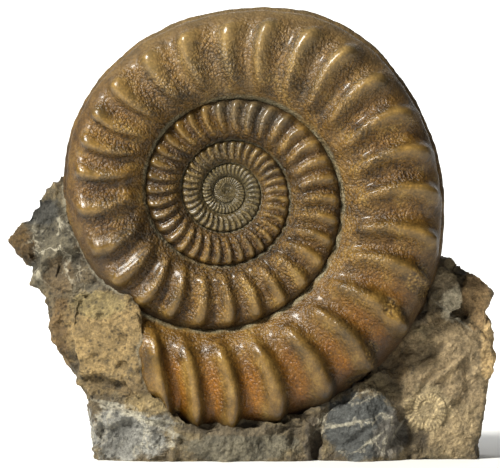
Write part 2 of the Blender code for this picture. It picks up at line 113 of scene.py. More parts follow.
# --- the stone ---
# Each lump is the hull of its corners, in mm: right, towards the viewer, up.
LUMPS = {
    "wing": ((-113, -2, 200), (-120, -4, 190), (-131, -6, 179), (-136, -7, 174), (-141, -9, 163),
        (-146, -10, 159), (-153, -13, 151), (-149, -11, 144), (-145, -9, 137), (-138, -7, 131),
        (-127, -4, 110), (-108, 1, 172), (-104, 2, 152), (-97, 5, 134), (-88, 8, 121), (-112, 3, 110),
        (-104, -34, 188), (-138, -30, 158), (-122, -38, 118), (-80, -44, 122), (-80, -10, 130)),
    "strip": ((-128, -1, 117), (-127, 0, 103), (-121, 2, 90), (-118, 3, 79), (-116, 4, 70), (-108, 7, 60),
        (-102, 9, 50), (-100, 11, 112), (-100, 13, 60), (-90, 14, 54), (-116, -38, 104), (-98, -44, 56),
        (-80, -44, 110), (-80, -20, 56)),
    "patch": ((-107, 13, 114), (-109, 14, 98), (-108, 15, 82), (-102, 17, 63), (-92, 19, 58),
        (-78, 23, 59), (-66, 27, 55), (-58, 29, 56), (-60, 30, 88), (-61, 25, 104), (-67, 21, 111),
        (-84, 15, 121), (-104, -10, 110), (-64, -10, 104), (-100, -10, 66), (-60, -10, 60), (-60, -10, 90)),
    "upper_joint": ((-111, 4, 168), (-109, 5, 158), (-103, 6, 148), (-96, 8, 136), (-118, 2, 160),
        (-112, 3, 140), (-112, -30, 165), (-100, -30, 134)),
    "lower_joint": ((-97, 8, 137), (-91, 10, 128), (-82, 12, 120), (-66, 19, 111), (-104, 4, 130),
        (-98, 8, 112), (-70, 20, 104), (-100, -30, 134), (-70, -30, 108)),
    "mouth_rim": ((-62, 31, 103), (-61, 32, 88), (-59, 34, 72), (-55, 35, 58), (-51, 36, 46),
        (-70, 28, 100), (-72, 29, 62), (-64, 32, 44), (-60, 0, 98), (-52, 0, 48), (-70, 0, 60)),
    "mouth_side": ((-97, 13, 41), (-103, 10, 49), (-100, 12, 57), (-74, 18, 61), (-57, 28, 60),
        (-52, 30, 47), (-41, 31, 32), (-30, 33, 19), (-60, 30, 30), (-88, 23, 37), (-96, -44, 44),
        (-60, -50, 54), (-30, -40, 20), (-60, -20, 66)),
    "rubble": ((-64, 29, 44), (-55, 35, 47), (-46, 37, 41), (-41, 35, 33), (-48, 35, 28), (-61, 31, 32),
        (-58, 8, 42), (-44, 8, 32), (-33, 36, 27), (-34, 35, 20), (-33, 10, 24)),
    "corner": ((-95, 24, 40), (-81, 29, 38), (-56, 32, 27), (-29, 35, 17), (-30, 36, -6), (-64, 33, -6),
        (-91, 25, 10), (-90, 25, -6), (-92, -40, 38), (-88, -44, -6), (-30, -50, -6), (-30, -40, 20)),
    "front_foot": ((-36, 35, 21), (-6, 35, 20), (28, 36, 22), (46, 34, 27), (57, 33, 25), (57, 32, -6),
        (10, 37, -6), (-34, 35, -6), (-34, -40, 14), (55, -40, 14), (55, -40, -6), (-34, -40, -6)),
    "under_left": ((-34, 26, 23), (-4, 27, 22), (24, 27, 24), (46, 26, 30), (64, 25, 36), (66, 22, 20),
        (-34, -30, 21), (64, -30, 36), (-34, 0, 0), (66, 0, 0), (30, 20, 0)),
    "under_mouth": ((-46, 33, 29), (-34, 34, 27), (-22, 33, 22), (-12, 33, 20), (-44, 33, 16),
        (-14, 33, 12), (-46, 4, 27), (-12, 4, 20), (-30, 4, 8)),
    "under_middle": ((8, 33, 21), (22, 34, 23), (40, 33, 27), (50, 31, 30), (10, 33, 10), (50, 31, 12),
        (8, 4, 20), (50, 4, 28), (30, 4, 8)),
    "under_right": ((62, 24, 35), (79, 22, 42), (99, 17, 54), (112, 12, 64), (120, 8, 60), (112, 8, 20),
        (66, 20, 6), (62, -30, 35), (112, -30, 62), (110, -10, 6)),
    "foot": ((-86, 14, -6), (40, 22, -6), (120, 18, -6), (173, 10, -6), (173, -42, -6), (118, -58, -6),
        (0, -60, -6), (-74, -52, -6), (-88, -14, -6), (-84, 14, 12), (60, 20, 12), (120, 14, 30),
        (172, -40, 30), (-86, -42, 40)),
    "toe": ((65, 28, -6), (65, 29, 8), (66, 29, 20), (72, 30, 33), (89, 27, 44), (104, 17, 53),
        (121, 22, 29), (102, 36, 5), (100, 37, -6), (84, 34, 25), (97, 33, 29), (113, 24, -6), (130, 16, 5),
        (131, 14, -6), (66, -20, -6), (66, -20, 20), (105, -20, 50), (130, -20, 10)),
    "slab": ((134, 6, 91), (156, 4, 99), (166, 3, 100), (175, 3, 91), (184, 4, 82), (187, 5, 71),
        (184, 7, 58), (178, 11, 34), (177, 13, 22), (174, 15, 6), (173, 15, -6), (132, 18, -6), (124, 19, 12),
        (114, 15, 44), (104, 10, 58), (160, 13, 70), (152, 16, 40), (184, -36, 76), (176, -42, 20),
        (172, -42, -6), (124, -44, 10), (150, -40, 96)),
    "slab_joint": ((98, 11, 54), (112, 9, 70), (128, 6, 91), (140, 0, 107), (149, -5, 132), (156, 3, 98),
        (130, 13, 60), (104, -30, 60), (150, -30, 130), (128, -34, 90), (160, -6, 112)),
    "facet": ((163, -1, 128), (167, 3, 104), (148, 6, 100), (140, 3, 111), (149, -3, 133),
        (160, -30, 128), (146, -30, 104)),
    "slab_edge": ((167, -5, 133), (176, -6, 130), (182, -8, 124), (183, -4, 103), (184, -3, 90),
        (188, -2, 79), (189, -2, 72), (180, 0, 60), (169, -1, 100), (167, -3, 114), (168, -40, 126),
        (180, -42, 110), (186, -40, 74), (160, -44, 70)),
    "slab_top": ((148, -12, 137), (161, -9, 138), (168, -9, 133), (168, -8, 100), (140, -15, 88),
        (124, -12, 96), (142, -42, 132), (168, -44, 124), (160, -44, 84), (118, -44, 90)),
    "back_left": ((-116, -18, 112), (-64, -24, 86), (-84, -52, 108), (-110, -40, 106), (-86, -48, 16),
        (-34, -65, 24), (-30, -61, 64), (-10, -20, 10), (-80, -10, 10), (-60, -56, 88)),
    "back_middle": ((-66, -24, 80), (20, -28, 70), (100, -22, 84), (-58, -56, 80), (-20, -62, 66),
        (50, -57, 62), (96, -50, 78), (-40, -67, 26), (24, -69, 34), (84, -64, 28), (-60, 10, 4),
        (110, 6, 8)),
    "back_right": ((92, -20, 80), (150, -16, 124), (168, -30, 112), (144, -48, 106), (60, -55, 62),
        (60, -24, 56), (170, -46, 20), (80, -66, 26), (110, 6, 20), (112, -56, 70))}
STONE_VOXEL = 1.5 * MM
EDGE_WANDER = 16 * MM          # how far the edges of its facets wander
CREASE_HEIGHT = 1.5 * MM
# Its roughness: waves a metre, and height.
STONE_ROUGHNESS = ((26.0, 1.8 * MM), (95.0, 1.0 * MM), (260.0, 0.9 * MM))
# Swellings and hollows of its front: right, up, width, height, turn in degrees, and how far out.
STONE_FORMS = (
    (-88, 55, 34, 13, -8, -5.0), (-116, 80, 9, 50, 0, -2.0), (-128, 168, 22, 12, 30, 2.0),
    (-108, 150, 24, 16, 40, 2.5), (-122, 134, 30, 10, -40, -2.5), (-96, 128, 16, 12, 0, 2.0),
    (-88, 100, 7, 7, 0, -3.0), (-72, 84, 7, 10, 10, -2.4), (-72, 66, 8, 8, 0, -2.6), (-92, 72, 9, 5, 0, -2.0),
    (-97, 114, 8, 4, 0, -2.5), (154, 62, 44, 5, 38, 2.2), (146, 76, 34, 6, 30, -2.0),
    (166, 84, 30, 6, -20, 1.6), (140, 54, 26, 8, 55, -2.2), (132, 34, 20, 13, 0, -1.6),
    (150, 34, 12, 16, 0, 1.6), (166, 40, 24, 8, 30, -1.4), (-56, 25, 64, 6, -23, 1.6),
    (-16, 11, 12, 20, 22, 1.7), (-2, 8, 8, 18, -18, -2.2), (12, 11, 13, 18, 14, 1.8),
    (26, 9, 9, 20, 20, -2.2), (40, 12, 10, 22, -12, 1.6), (168, 18, 26, 8, -10, 1.4),
    (84, 30, 24, 14, 0, 1.5), (92, 18, 30, 6, 35, -1.8), (118, 14, 14, 20, 0, -2.5))

# The small ammonite in the slab: where its middle is (mm) and how far it is turned, in degrees.
SMALL_SHELL_PLACE = (140.5, 0.0, 35.0)
SMALL_SHELL_TURN = 95.0
SMALL_SHELL_DEPTH = 0.60       # it is flattened to this share,
SMALL_SHELL_SINK = 0.8 * MM    # and sunk this far,
SMALL_SHELL_LEAN = (-0.05, 0.0, -0.07)  # less at the right and at the top
# Where the front of the stone broke evenly: right, up, width, height (mm).
EVEN_PLACES = ((-85, 88, 54, 62), (156, 52, 74, 110), (92, 26, 56, 52), (152, 112, 34, 44))
# Stains of its skin, in mm from the origin: right, up, width, height, colour and strength.
# Among them, painted shade: the dark band under the shell at (8, 22), the recess at (60, 14), and the shell's
# shadow on the slab at (122, 74) and (134, 116).
STONE_STAINS_AND_SHADE = (
    (-124, 150, 44, 70, "#554f3f", 0.9), (-130, 172, 28, 22, "#403e37", 1.0),
    (-146, 148, 26, 30, "#54401f", 1.0), (-118, 128, 22, 30, "#5b4a30", 0.8),
    (-96, 116, 26, 16, "#6a6250", 0.8), (-116, 84, 16, 70, "#66502f", 0.9), (-80, 86, 66, 68, "#8d764c", 1.0),
    (-88, 108, 40, 20, "#8a7a50", 0.8), (-92, 51, 34, 14, "#74613f", 0.9), (-64, 50, 26, 16, "#7d6844", 0.8),
    (-68, 20, 64, 40, "#84827a", 1.0), (-57, 39, 32, 18, "#8d7950", 0.85), (10, 10, 78, 26, "#655f4e", 0.9),
    (8, 22, 90, 9, "#625641", 0.9), (60, 14, 14, 34, "#5a5040", 1.0), (92, 24, 54, 50, "#4b4c49", 1.0),
    (114, 16, 26, 34, "#68635a", 0.9), (122, 74, 24, 48, "#6b5738", 0.9), (154, 56, 66, 100, "#94805f", 1.0),
    (158, 24, 42, 44, "#968361", 0.9), (140, 34, 34, 34, "#ab9872", 0.9), (176, 112, 22, 44, "#997e57", 1.0),
    (134, 116, 16, 50, "#5e5240", 0.9), (184, 74, 14, 40, "#bfa170", 0.9))
# Stains on its better face alone.
FACE_STAINS_AND_LIGHT = (
    (-80, 38, 22, 5, "#b5af9d", 0.6), (-64, 33, 22, 5, "#b0aa97", 0.6), (-48, 27, 20, 5, "#aaa491", 0.6),
    # The pale facet at (158, 108) is partly its own pale grey and partly painted light.
    (158, 108, 18, 26, "#c6b99d", 1.0), (152, 124, 18, 18, "#8a7a5e", 0.8))
# Where pale calcite veins cross it: right, up, width, height (mm).
VEINED_PLACES = ((-118, 146, 50, 56), (-64, 20, 76, 40), (90, 24, 62, 56))
# Pale calcite along its ledges: right, up, length, width (mm) and turn in degrees.
PALE_LINES = (
    (-56, 28, 62, 3.4, -23), (-84, 40, 22, 3.0, -10), (158, 100, 30, 2.6, -38), (120, 22, 18, 2.2, 55),
    (84, 26, 34, 2.0, 12), (100, 14, 26, 2.0, 35))

# --- the finishes ---
# Noises by name: waves a metre, detail and roughness.
CALCITE_NOISES = {
    "wander": (38.0, 3.0, 0.5), "broad": (60.0, 8.0, 0.72), "rust": (75.0, 6.0, 0.7),
    "lumps": (150.0, 3.0, 0.6), "grains": (260.0, 3.0, 0.62), "bend": (330.0, 2.0, 0.5),
    "fine": (640.0, 3.0, 0.72)}
LIMESTONE_NOISES = {
    "broad": (42.0, 7.0, 0.68), "wander": (70.0, 8.0, 0.72), "chips": (120.0, 5.0, 0.65),
    "mottle": (150.0, 6.0, 0.8), "grains": (330.0, 4.0, 0.75), "speckle": (480.0, 3.0, 0.7)}

# --- the studio ---
# Lights: where each stands and looks, the side of its square in metres, watts and colour.
LIGHTS = {
    "window at the upper left": ((-1.62, -1.40, 1.93), (0.0, 0.0, 0.15), 0.6, 148.0, "#fffdf6"),
    "soft fill from the right": ((1.6, -2.6, 0.9), (0.0, 0.0, 0.15), 2.0, 5.2, "#ffffff"),
    "light on the paper behind": ((0.0, 1.2, 3.0), (0.0, 5.2, 1.2), 2.0, 300.0, "#ffffff")}
ROOM_LIGHT = 0.07
CAMERA_TARGET = Vector((16.45, 0.0, 156.8)) * MM
CAMERA_AWAY = 3.2
CAMERA_TILT = 1.5
CAMERA_LENS = 329.1

# --- kinds of node ---
# Some are named with the setting that makes them what they are.
MATH = "ShaderNodeMath"
PLUS, MINUS, TIMES, OVER, TIMES_PLUS, LARGER = ((MATH, {"operation": name}) for name in (
    "ADD", "SUBTRACT", "MULTIPLY", "DIVIDE", "MULTIPLY_ADD", "MAXIMUM"))
ABSOLUTE, IN_RADIANS, COSINE, EXPONENT, BEYOND, BEFORE = ((MATH, {"operation": name}) for name in (
    "ABSOLUTE", "RADIANS", "COSINE", "EXPONENT", "GREATER_THAN", "LESS_THAN"))
VECTOR = "ShaderNodeVectorMath"
STEP_FROM = (VECTOR, {"operation": "SUBTRACT"})
SCALED = (VECTOR, {"operation": "SCALE"})
PARTS = "ShaderNodeSeparateXYZ"
SPOT_AT = "ShaderNodeCombineXYZ"
CURVE = "ShaderNodeFloatCurve"
RANGE = "ShaderNodeMapRange"
SOFT_RANGE = (RANGE, {"interpolation_type": "SMOOTHSTEP"})
MIX = "ShaderNodeMix"
BLEND = (MIX, {"data_type": "RGBA"})
NOISE = "ShaderNodeTexNoise"
SEEDED_NOISE = (NOISE, {"noise_dimensions": "4D"})
CELLS = "ShaderNodeTexVoronoi"
BUMP = "ShaderNodeBump"
MOVE = "GeometryNodeSetPosition"
STORE = "GeometryNodeStoreNamedAttribute"


# --- small tools ---
def linear(hex_colour):
    """A linear RGBA colour from an sRGB hex string."""
    channels = [int(hex_colour[i:i + 2], 16) / 255 for i in (1, 3, 5)]
    return tuple(c / 12.92 if c <= 0.04045 else ((c + 0.055) / 1.055) ** 2.4 for c in channels) + (1.0,)


def add_node(tree, kind, inputs=(), **settings):
    """Adds a node with its settings.  Its inputs are values, sockets or nodes, in order or by name."""
    if isinstance(kind, tuple):
        kind, fixed = kind
        settings.update(fixed)
    made = tree.nodes.new(kind)
    for name, value in settings.items():
        setattr(made, name, value)
    open_inputs = [socket for socket in made.inputs if socket.enabled]
    named = inputs.items() if isinstance(inputs, dict) else enumerate(inputs)
    for key, value in named:
        if isinstance(key, int):
            target = open_inputs[key]
        else:
            target = next(socket for socket in open_inputs if socket.name == key)
        if isinstance(value, bpy.types.Node):
            value = next(socket for socket in value.outputs if socket.enabled)
        if isinstance(value, bpy.types.NodeSocket):
            tree.links.new(value, target)
        else:
            target.default_value = value
    return made


def draw_curve(node, points, handle="AUTO"):
    """Gives a curve node these (place, value) points."""
    curve = node.mapping.curves[0]
    while len(curve.points) > 2:
        curve.points.remove(curve.points[1])
    curve.points[0].location = points[0]
    curve.points[1].location = points[-1]
    for place, value in points[1:-1]:
        curve.points.new(place, value)
    for point in curve.points:
        point.handle_type = handle
    node.mapping.update()


def fill_ramp(node, stops):
    """Gives a colour ramp these (place, sRGB hex) stops."""
    ramp = node.color_ramp
    while len(ramp.elements) > 1:
        ramp.elements.remove(ramp.elements[-1])
    ramp.elements[0].position = stops[0][0]
    ramp.elements[0].color = linear(stops[0][1])
    for place, colour in stops[1:]:
        ramp.elements.new(place).color = linear(colour)


def object_from(bm, name):
    """An object with the faces of a bmesh, which is freed."""
    mesh = bpy.data.meshes.new(name)
    bm.to_mesh(mesh)
    bm.free()
    made = bpy.data.objects.new(name, mesh)
    bpy.context.scene.collection.objects.link(made)
    return made


def settle(made):
    """Makes what the modifiers do to an object permanent, and removes them."""
    finished = bpy.data.meshes.new_from_object(made.evaluated_get(bpy.context.evaluated_depsgraph_get()))
    made.modifiers.clear()
    made.data = finished
    finished.name = made.name


def grow(made, tree, **values):
    """Runs a geometry tree on an object, with these values in its named inputs, and keeps the result."""
    modifier = made.modifiers.new(tree.name, "NODES")
    modifier.node_group = tree
    for item in tree.interface.items_tree:
        if item.item_type == "SOCKET" and item.in_out == "INPUT" and item.name in values:
            modifier[item.identifier] = values[item.name]
    settle(made)


def open_tree(name, sockets):
    """A geometry tree with these (name, type, value) inputs, what adds its nodes, and its input sockets."""
    tree = bpy.data.node_groups.new(name, "GeometryNodeTree")
    tree.interface.new_socket("Geometry", in_out="INPUT", socket_type="NodeSocketGeometry")
    for label, kind, value in sockets:
        made = tree.interface.new_socket(label, in_out="INPUT", socket_type="NodeSocket" + kind)
        if value is not None:
            made.default_value = value
    tree.interface.new_socket("Geometry", in_out="OUTPUT", socket_type="NodeSocketGeometry")
    add = partial(add_node, tree)
    return tree, add, add("NodeGroupInput").outputs


def close_tree(add, shape, material):
    """Ends a geometry tree with real geometry in its material."""
    real = add("GeometryNodeRealizeInstances", {"Geometry": shape})
    dressed = add("GeometryNodeSetMaterial", {"Geometry": real, "Material": material})
    add("NodeGroupOutput", (dressed,))


def round_place(add, spot, right_mm, up_mm, width, height, turned=0.0):
    """How far out in an upright ellipse a spot is: 0 in its middle and 1 at its edge."""
    local = add(STEP_FROM, (spot, (right_mm * MM, 0.0, up_mm * MM)))
    level = add("ShaderNodeVectorRotate", {"Vector": local, "Angle": radians(turned)}, rotation_type="Y_AXIS")
    shares = add(VECTOR, (level, (2 / MM / width, 0.0, 2 / MM / height)), operation="MULTIPLY")
    return add(VECTOR, (shares,), operation="LENGTH")


# --- the shell ---
def keel_tree():
    """Radius to the keel at a place along the tube, in degrees from the mouth."""
    tree = bpy.data.node_groups.new("keel radius", "GeometryNodeTree")
    tree.interface.new_socket("Along", in_out="INPUT", socket_type="NodeSocketFloat")
    tree.interface.new_socket("Radius", in_out="OUTPUT", socket_type="NodeSocketFloat")
    add = partial(add_node, tree)
    along = add("NodeGroupInput").outputs["Along"]
    last = add(OVER, (along, KEEL_AT[-1]))
    outer = add(CURVE, (1.0, last))
    draw_curve(outer, [(at / KEEL_AT[-1], mm / KEEL_CURVE_MM) for at, mm in zip(KEEL_AT, KEEL_MM)])
    outer_radius = add(TIMES, (outer, KEEL_CURVE_MM * MM))
    # radius = start * exp(oval * cos(bearing) - fall * along)
    bearing = add(PLUS, (along, MOUTH_BEARING - OVAL_BEARING))
    turn = add(IN_RADIANS, (bearing,))
    wave = add(COSINE, (turn,))
    oval = add(TIMES, (wave, OVAL_SHARE))
    power = add(TIMES_PLUS, (along, -SPIRAL_FALL, oval))
    grown = add(EXPONENT, (power,))
    inner_radius = add(TIMES, (grown, SPIRAL_START))
    further_in = add(BEYOND, (along, KEEL_AT[-1]))
    radius = add(MIX, (further_in, outer_radius, inner_radius))
    add("NodeGroupOutput", (radius,))
    return tree


def shell_tree():
    """A closed sleeve, coiled up as a tube that grows, with its ribs, swellings and broken places."""
    tree, add, given = open_tree("coiled ribbed tube", (
        ("Points round", "Int", 60), ("Rows", "Int", 1600), ("Rib height share", "Float", RIB_HEIGHT_SHARE),
        ("Seed", "Float", 3.0), ("Material", "Material", None)))
    keel = keel_tree()
    sleeve = add("GeometryNodeMeshCylinder", {
        "Vertices": given["Points round"], "Side Segments": given["Rows"], "Fill Segments": 9,
        "Radius": 1.0, "Depth": 1.0}, fill_type="TRIANGLE_FAN")
    place = add("GeometryNodeInputPosition")
    parts = add(PARTS, (place,))
    turn = add(MATH, (parts.outputs["Y"], parts.outputs["X"]), operation="ARCTAN2")
    sign = add(MATH, (turn,), operation="SIGN")
    side = add(TIMES, (sign, -1.0))
    unsigned = add(ABSOLUTE, (turn,))
    round_share = add(OVER, (unsigned, pi))
    flat = add(SPOT_AT, (parts.outputs["X"], parts.outputs["Y"], 0.0))
    fill = add(VECTOR, (flat,), operation="LENGTH")
    share = add(MINUS, (0.5, parts.outputs["Z"]))
    # Rows stand closer together near the mouth: along = length * share * (crowding + (1 - crowding) * share)
    crowd = add(TIMES_PLUS, (share, 1.0 - ROW_CROWDING, ROW_CROWDING))
    crowded = add(TIMES, (crowd, share))
    along = add(TIMES_PLUS, (crowded, COIL_LENGTH, BURIED))

    across_curve, thick_curve, rib_share = (add(CURVE, (1.0, round_share)) for _ in range(3))
    draw_curve(across_curve, [(at, across / MOST_ACROSS) for at, across, _, _ in SECTION])
    draw_curve(thick_curve, [(at, thick) for at, _, thick, _ in SECTION])
    draw_curve(rib_share, [(at, rib / MOST_RIB) for at, _, _, rib in SECTION])
    across_full = add(TIMES, (across_curve, MOST_ACROSS))
    # The two ends close towards the middle of the section.
    across = add(MIX, (fill, 0.5, across_full))
    thick = add(TIMES, (thick_curve, fill))

    # A rib runs furthest ahead partway in; near the mouth all of it slants.
    bend = add(MINUS, (across, LEAN_TURNS_AT))
    bent = add(OVER, (bend, 1.0 - LEAN_TURNS_AT))
    bent_twice = add(TIMES, (bent, bent))
    lean = add(TIMES_PLUS, (bent_twice, -LEAN, along))
    near_mouth = add(RANGE, (along, 0.0, SLANT_FADES_OVER, 1.0, 0.0))
    near_power = add(MATH, (near_mouth, SLANT_POWER), operation="POWER")
    out_share = add(MINUS, (1.0, across))
    out_square = add(TIMES, (out_share, out_share))
    slant = add(TIMES, (near_power, out_square))
    here = add(TIMES_PLUS, (slant, MOUTH_SLANT, lean))

    outer = add("GeometryNodeGroup", (here,), node_tree=keel)
    whorl_in = add(PLUS, (here, WHORL))
    inside = add("GeometryNodeGroup", (whorl_in,), node_tree=keel)
    # The last whorl closes round the first chamber.
    open_share = add(RANGE, (along, *LAST_WHORL_CLOSES, SEAM_SHARE, 0.0))
    seam = add(TIMES, (inside, open_share))
    radius = add(MIX, (across, outer, seam), clamp_factor=False)
    shared = add(TIMES, (outer, THICKNESS_SHARE))
    most = add(MATH, (shared, MOST_THICKNESS), operation="MINIMUM")
    # The broken end tapers into the stone that hides it.
    taper = add(SOFT_RANGE, (along, *END_TAPER, 1.0))
    tapered = add(TIMES, (most, taper))
    depth = add(TIMES, (thick, tapered))
    towards = add(TIMES, (side, depth))

    bearing = add(PLUS, (here, MOUTH_BEARING))
    angle = add(IN_RADIANS, (bearing,))
    cosine = add(COSINE, (angle,))
    sine = add(MATH, (angle,), operation="SINE")
    right = add(TIMES, (radius, cosine))
    up = add(TIMES_PLUS, (radius, sine, COIL_CENTRE.z))
    on_tube = add(SPOT_AT, (right, towards, up))

    # What the surface needs to know later is kept before the sleeve is bent.
    outer_length = OUTER_CRESTS[-1]
    in_outer = add(OVER, (along, outer_length), use_clamp=True)
    count_outer = add(CURVE, (1.0, in_outer))
    counted = [(at / outer_length, (i + 1.0) / COUNT_SPAN) for i, at in enumerate(OUTER_CRESTS)]
    draw_curve(count_outer, [(0.0, COUNT_AT_MOUTH / COUNT_SPAN)] + counted, "VECTOR")
    beyond = add(RANGE, (along, outer_length, COIL_LENGTH, 0.0, 1.0))
    count_inner = add(CURVE, (1.0, beyond))
    first, most_ribs = INNER_RIBS[0][0], INNER_RIBS[-1][0]
    inner_length = COIL_LENGTH - outer_length
    counted = [
        ((at - outer_length) / inner_length, (number - first) / most_ribs) for number, at in INNER_RIBS]
    draw_curve(count_inner, counted, "VECTOR")
    ribs_outer = add(TIMES_PLUS, (count_outer, COUNT_SPAN, -1.0))
    ribs = add(TIMES_PLUS, (count_inner, most_ribs, ribs_outer))

    known = {"along": along, "across": across, "ribs": ribs, "rib_share": rib_share, "reach": outer}
    knowing = sleeve.outputs["Mesh"]
    for name, value in known.items():
        knowing = add(STORE, {"Geometry": knowing, "Name": name, "Value": value})
    bent_tube = add(MOVE, {"Geometry": knowing, "Position": on_tube})
    read = {name: add("GeometryNodeInputNamedAttribute", (name,)) for name in known}

    # A crest is narrow and the hollow between two is wide.
    nearest = add(PLUS, (read["ribs"], 0.5))
    phase = add(MATH, (nearest,), operation="FRACT")
    number = add(MATH, (nearest,), operation="FLOOR")
    off = add(MINUS, (phase, 0.5))
    past = add(BEYOND, (off, 0.0))
    narrow = add(MIX, (past, GENTLE_SIDE, STEEP_SIDE))
    broader_inside = add(RANGE, (read["along"], 340.0, 420.0, 1.0, 1.22))
    side_width = add(TIMES, (narrow, broader_inside))
    wide = add(OVER, (off, side_width))
    squared = add(TIMES, (wide, wide))
    negative = add(TIMES, (squared, -1.0))
    crest = add(EXPONENT, (negative,))
    # The middle of its steep side, where painted shade will go.
    leaves_crest = add(RANGE, (off, 0.05, 0.15, 0.0, 1.0))
    meets_hollow = add(RANGE, (off, 0.20, 0.40, 1.0, 0.0))
    steep_side = add(TIMES, (leaves_crest, meets_hollow))
    # No two ribs are equally high.
    uneven = add("ShaderNodeTexWhiteNoise", {"W": number}, noise_dimensions="1D")
    strength = add(RANGE, (uneven, 0.0, 1.0, 0.85, 1.12))
    full_rib = add(TIMES, (read["rib_share"], MOST_RIB))
    # Past the first third of the whorl the ribs end further from the keel.
    ends_early = add(SOFT_RANGE, (read["along"], 120.0, 190.0, 0.0, 1.0))
    from_keel = add(SOFT_RANGE, (read["across"], 0.09, 0.27, 0.05, 1.0))
    shortened = add(MIX, (ends_early, 1.0, from_keel))
    body_rib = add(TIMES, (full_rib, shortened))
    rib = add(TIMES, (crest, body_rib))
    steep = add(TIMES, (steep_side, body_rib))
    rib_uneven = add(TIMES, (rib, strength))
    tall = add(TIMES, (given["Rib height share"], read["reach"]))
    bolder = add(SOFT_RANGE, (read["along"], 300.0, 420.0, 1.0, 1.15))
    # The first rib stands highest, though not at its shoulder.
    on_flank = add(RANGE, (read["across"], 0.24, 0.46, 1.0, 1.45))
    first_rib = add(RANGE, (read["along"], 10.0, 14.0, on_flank, 1.0))
    for share in (bolder, first_rib):
        tall = add(TIMES, (tall, share))
    rise = add(TIMES, (rib_uneven, tall))

    # The surface swells and sinks a little, and a coarse grain of crystals stands out of it.
    spot = add("GeometryNodeInputPosition")
    swellings = []
    for scale, detail, roughness, height in SHELL_SWELLINGS:
        noise = add(SEEDED_NOISE, {
            "Vector": spot, "W": given["Seed"], "Scale": scale, "Detail": detail, "Roughness": roughness})
        swellings.append(add(RANGE, (noise, 0.25, 0.75, -height, height)))
    both = add(PLUS, swellings)
    size_share = add(RANGE, (read["reach"], 10 * MM, 100 * MM, 0.15, 1.0))
    sized = add(TIMES, (both, size_share))
    total = add(PLUS, (rise, sized))
    rubble = add(CELLS, {"Vector": spot, "Scale": 230.0})
    depth_at = add(PARTS, (spot,)).outputs["Y"]
    on_face = add(BEFORE, (depth_at, FACE_END))
    broken = None
    for *where, deep, rough in BROKEN_PLACES:
        away = round_place(add, spot, *where)
        within = add(SOFT_RANGE, (away, 0.55, 1.1, 1.0, 0.0))
        uneven_depth = add(RANGE, (rubble, 0.1, 0.7, deep * (1 - rough) * MM, deep * MM))
        cut = add(TIMES, (within, uneven_depth))
        cut = add(TIMES, (cut, on_face))
        total = add(MINUS, (total, cut))
        golden = add(TIMES, (within, min(1.0, (deep / FRESH_DEPTH) ** 2)))
        broken = golden if broken is None else add(LARGER, (broken, golden))
    broken_front = add(TIMES, (broken, on_face))
    for name, value in (("rib", rib), ("steep", steep), ("broken", broken_front)):
        bent_tube = add(STORE, {"Geometry": bent_tube, "Name": name, "Value": value})

    normal = add("GeometryNodeInputNormal")
    push = add(SCALED, {"Vector": normal, "Scale": total})
    ribbed = add(MOVE, {"Geometry": bent_tube, "Offset": push})
    smooth = add("GeometryNodeSetShadeSmooth", {"Geometry": ribbed})
    close_tree(add, smooth, given["Material"])
    return tree


def make_shell(material):
    """The large shell, as the visible piece."""
    shell = object_from(bmesh.new(), "ribbed_shell")
    grow(shell, shell_tree(), Material=material)
    return shell


# --- the stone round it ---
def make_stone(shell, material):
    """The lumps joined into one stone, then broken up by its tree round the shell."""
    small = object_from(bmesh.new(), "small_shell")
    grow(small, shell_tree(), **{"Points round": 26, "Rows": 430, "Material": material})
    bm = bmesh.new()
    for corners in LUMPS.values():
        vertices = [bm.verts.new((right * MM, -near * MM, up * MM)) for right, near, up in corners]
        hull = bmesh.ops.convex_hull(bm, input=vertices)
        inside = [v for v in hull["geom_interior"] if isinstance(v, bmesh.types.BMVert)]
        bmesh.ops.delete(bm, geom=inside, context="VERTS")
    bmesh.ops.recalc_face_normals(bm, faces=bm.faces[:])
    stone = object_from(bm, "limestone_block")
    remesh = stone.modifiers.new("one stone", "REMESH")
    remesh.mode = "VOXEL"
    remesh.voxel_size = STONE_VOXEL
    settle(stone)
    stone.data.materials.clear()
    grow(stone, stone_tree(), **{"Shell": shell, "Small shell": small, "Material": material})
    bpy.data.objects.remove(small)
    return stone


